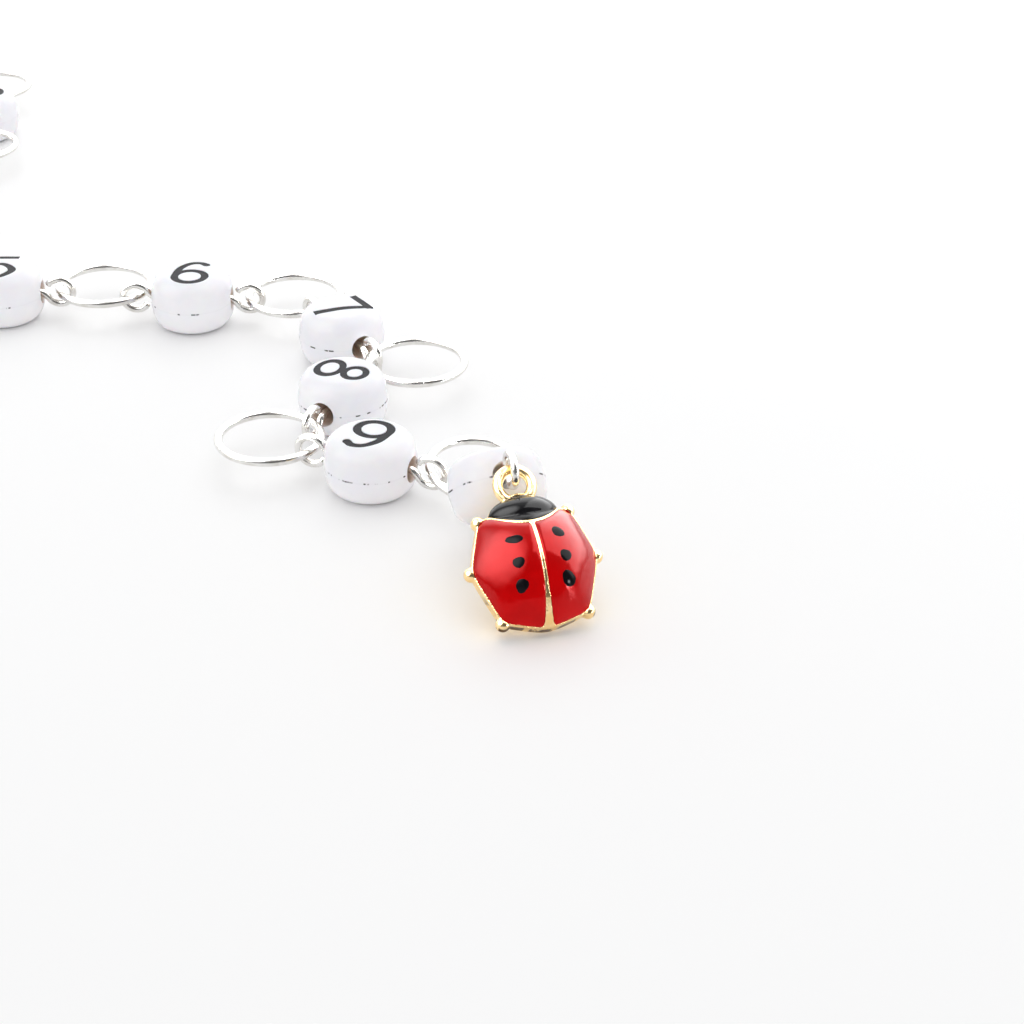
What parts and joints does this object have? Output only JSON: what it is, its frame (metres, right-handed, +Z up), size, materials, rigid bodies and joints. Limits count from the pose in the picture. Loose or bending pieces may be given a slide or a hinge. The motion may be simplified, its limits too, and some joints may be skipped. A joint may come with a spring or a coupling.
{
  "type": "chain row counter",
  "caption": "Knitting row counter: a chain of numbered white beads on wire eye pins, linked by rings that slip over a needle, ending in an enamelled ladybird charm.",
  "frame": {"origin": "on the surface that the chain lies on, under the middle of its box", "axes": "+Z up from that surface, +Y along the chain's longer side, away from the charm's end, +X towards the charm"},
  "size_m": [0.0812, 0.1088, 0.0092],
  "materials": {
    "acrylic_white": "polished moulded acrylic",
    "ink_black": "ink set in the sunk numeral",
    "wire_silver": "bright plated wire",
    "ring_silver": "bright plated wire",
    "gold_plate": "bright plated casting",
    "enamel_red": "domed glossy enamel",
    "enamel_black": "domed glossy enamel"
  },
  "bodies": {
    "pin_0": {"pin_0": "wire_silver"},
    "bead_0": {"bead_0": "acrylic_white", "numeral_0": "ink_black"},
    "pin_9": {"pin_9": "wire_silver"},
    "bead_9": {"bead_9": "acrylic_white", "numeral_9": "ink_black"},
    "pin_8": {"pin_8": "wire_silver"},
    "bead_8": {"bead_8": "acrylic_white", "numeral_8": "ink_black"},
    "pin_7": {"pin_7": "wire_silver"},
    "bead_7": {"bead_7": "acrylic_white", "numeral_7": "ink_black"},
    "pin_6": {"pin_6": "wire_silver"},
    "bead_6": {"bead_6": "acrylic_white", "numeral_6": "ink_black"},
    "pin_5": {"pin_5": "wire_silver"},
    "bead_5": {"bead_5": "acrylic_white", "numeral_5": "ink_black"},
    "pin_4": {"pin_4": "wire_silver"},
    "bead_4": {"bead_4": "acrylic_white", "numeral_4": "ink_black"},
    "pin_3": {"pin_3": "wire_silver"},
    "bead_3": {"bead_3": "acrylic_white", "numeral_3": "ink_black"},
    "pin_2": {"pin_2": "wire_silver"},
    "bead_2": {"bead_2": "acrylic_white", "numeral_2": "ink_black"},
    "pin_1": {"pin_1": "wire_silver"},
    "bead_1": {"bead_1": "acrylic_white", "numeral_1": "ink_black"},
    "ring_0_9": {"ring_0_9": "ring_silver"},
    "ring_9_8": {"ring_9_8": "ring_silver"},
    "ring_8_7": {"ring_8_7": "ring_silver"},
    "ring_7_6": {"ring_7_6": "ring_silver"},
    "ring_6_5": {"ring_6_5": "ring_silver"},
    "ring_5_4": {"ring_5_4": "ring_silver"},
    "ring_4_3": {"ring_4_3": "ring_silver"},
    "ring_3_2": {"ring_3_2": "ring_silver"},
    "ring_2_1": {"ring_2_1": "ring_silver"},
    "ring_start": {"ring_start": "ring_silver"},
    "charm": {"spot_left_1": "enamel_black", "spot_left_2": "enamel_black", "spot_left_3": "enamel_black", "enamel_left": "enamel_red", "spot_right_1": "enamel_black", "spot_right_2": "enamel_black", "spot_right_3": "enamel_black", "enamel_right": "enamel_red", "enamel_head": "enamel_black", "charm": "gold_plate"}
  },
  "joints": [
    {"name": "ring_7_6_swing", "type": "hinge", "parent": "pin_6", "child": "ring_7_6", "pos_m": [0.01234, -0.00515, 0.0023], "axis": [-0.1564, 0.9877, 0], "range_deg": [-60, 60]},
    {"name": "pin_7_slide_round", "type": "hinge", "parent": "ring_7_6", "child": "pin_7", "pos_m": [0.01615, -0.00454, 0.0023], "axis": [0, 0, 1], "range_deg": [-57, 60]},
    {"name": "ring_8_7_swing", "type": "hinge", "parent": "pin_7", "child": "ring_8_7", "pos_m": [0.02323, -0.01589, 0.0023], "axis": [-0.3584, -0.9336, 0], "range_deg": [-60, 60]},
    {"name": "pin_8_slide_round", "type": "hinge", "parent": "ring_8_7", "child": "pin_8", "pos_m": [0.02683, -0.01727, 0.0023], "axis": [0, 0, -1], "range_deg": [-60, 2]},
    {"name": "ring_9_8_swing", "type": "hinge", "parent": "pin_8", "child": "ring_9_8", "pos_m": [0.01936, -0.02767, 0.0023], "axis": [0.6157, -0.788, 0], "range_deg": [-60, 60]},
    {"name": "pin_9_slide_round", "type": "hinge", "parent": "ring_9_8", "child": "pin_9", "pos_m": [0.01633, -0.03004, 0.0023], "axis": [0, 0, 1], "range_deg": [-60, 22]},
    {"name": "ring_0_9_swing", "type": "hinge", "parent": "pin_9", "child": "ring_0_9", "pos_m": [0.02855, -0.03545, 0.0023], "axis": [0.269, -0.9527, -0.1415], "range_deg": [-60, 60]},
    {"name": "pin_0_slide_round", "type": "hinge", "parent": "ring_0_9", "child": "pin_0", "pos_m": [0.03221, -0.03435, 0.00186], "axis": [-0.1487, 0.1041, -0.9834], "range_deg": [-60, 42]},
    {"name": "charm_swing", "type": "hinge", "parent": "pin_0", "child": "charm", "pos_m": [0.03438, -0.04499, 0.00782], "axis": [0.9613, 0.2756, 0], "range_deg": [-60, 32]},
    {"name": "ring_6_5_swing", "type": "hinge", "parent": "pin_6", "child": "ring_6_5", "pos_m": [0.0028, -0.00498, 0.0023], "axis": [0.6293, 0.7771, 0], "range_deg": [-60, 60]},
    {"name": "pin_5_slide_round", "type": "hinge", "parent": "ring_6_5", "child": "pin_5", "pos_m": [-0.0002, -0.00256, 0.0023], "axis": [0, 0, -1], "range_deg": [-60, 60]},
    {"name": "ring_5_4_swing", "type": "hinge", "parent": "pin_5", "child": "ring_5_4", "pos_m": [-0.01338, -0.00398, 0.0023], "axis": [0.0175, -0.9998, 0], "range_deg": [-60, 60]},
    {"name": "pin_4_slide_round", "type": "hinge", "parent": "ring_5_4", "child": "pin_4", "pos_m": [-0.01724, -0.00404, 0.0023], "axis": [0, 0, 1], "range_deg": [-37, 60]},
    {"name": "ring_4_3_swing", "type": "hinge", "parent": "pin_4", "child": "ring_4_3", "pos_m": [-0.01863, 0.00928, 0.0023], "axis": [0.9945, 0.1045, 0], "range_deg": [-60, 60]},
    {"name": "pin_3_slide_round", "type": "hinge", "parent": "ring_4_3", "child": "pin_3", "pos_m": [-0.01904, 0.01311, 0.0023], "axis": [0, 0, -1], "range_deg": [-60, 60]},
    {"name": "ring_3_2_swing", "type": "hinge", "parent": "pin_3", "child": "ring_3_2", "pos_m": [-0.0181, 0.02648, 0.0023], "axis": [-0.9976, 0.0698, 0], "range_deg": [-60, 60]},
    {"name": "pin_2_slide_round", "type": "hinge", "parent": "ring_3_2", "child": "pin_2", "pos_m": [-0.01784, 0.03032, 0.0023], "axis": [0, 0, 1], "range_deg": [-60, 60]},
    {"name": "ring_2_1_swing", "type": "hinge", "parent": "pin_2", "child": "ring_2_1", "pos_m": [-0.01923, 0.04365, 0.0023], "axis": [0.9945, 0.1045, 0], "range_deg": [-60, 60]},
    {"name": "pin_1_slide_round", "type": "hinge", "parent": "ring_2_1", "child": "pin_1", "pos_m": [-0.01964, 0.04748, 0.0023], "axis": [0, 0, -1], "range_deg": [-47, 60]},
    {"name": "ring_start_swing", "type": "hinge", "parent": "pin_1", "child": "ring_start", "pos_m": [-0.03287, 0.04957, 0.0023], "axis": [-0.1564, -0.9877, 0], "range_deg": [-60, 60]},
    {"name": "bead_0_spin", "type": "hinge", "parent": "pin_0", "child": "bead_0", "pos_m": [0.03341, -0.04158, 0.00462], "axis": [0.2048, -0.7144, 0.6691], "continuous": true},
    {"name": "bead_9_spin", "type": "hinge", "parent": "pin_9", "child": "bead_9", "pos_m": [0.02409, -0.03374, 0.0023], "axis": [0.9336, -0.3584, 0], "continuous": true},
    {"name": "bead_8_spin", "type": "hinge", "parent": "pin_8", "child": "bead_8", "pos_m": [0.02138, -0.02335, 0.0023], "axis": [-0.4226, -0.9063, 0], "continuous": true},
    {"name": "bead_7_spin", "type": "hinge", "parent": "pin_7", "child": "bead_7", "pos_m": [0.02056, -0.01193, 0.0023], "axis": [0.5592, -0.829, 0], "continuous": true},
    {"name": "bead_6_spin", "type": "hinge", "parent": "pin_6", "child": "bead_6", "pos_m": [0.00757, -0.00506, 0.0023], "axis": [0.9998, -0.0175, 0], "continuous": true},
    {"name": "bead_5_spin", "type": "hinge", "parent": "pin_5", "child": "bead_5", "pos_m": [-0.00861, -0.00389, 0.0023], "axis": [0.9998, 0.0175, 0], "continuous": true},
    {"name": "bead_4_spin", "type": "hinge", "parent": "pin_4", "child": "bead_4", "pos_m": [-0.01814, 0.00453, 0.0023], "axis": [0.1045, -0.9945, 0], "continuous": true},
    {"name": "bead_3_spin", "type": "hinge", "parent": "pin_3", "child": "bead_3", "pos_m": [-0.01844, 0.02172, 0.0023], "axis": [-0.0698, -0.9976, 0], "continuous": true},
    {"name": "bead_2_spin", "type": "hinge", "parent": "pin_2", "child": "bead_2", "pos_m": [-0.01874, 0.0389, 0.0023], "axis": [0.1045, -0.9945, 0], "continuous": true},
    {"name": "bead_1_spin", "type": "hinge", "parent": "pin_1", "child": "bead_1", "pos_m": [-0.02816, 0.04883, 0.0023], "axis": [0.9877, -0.1564, 0], "continuous": true}
  ]
}
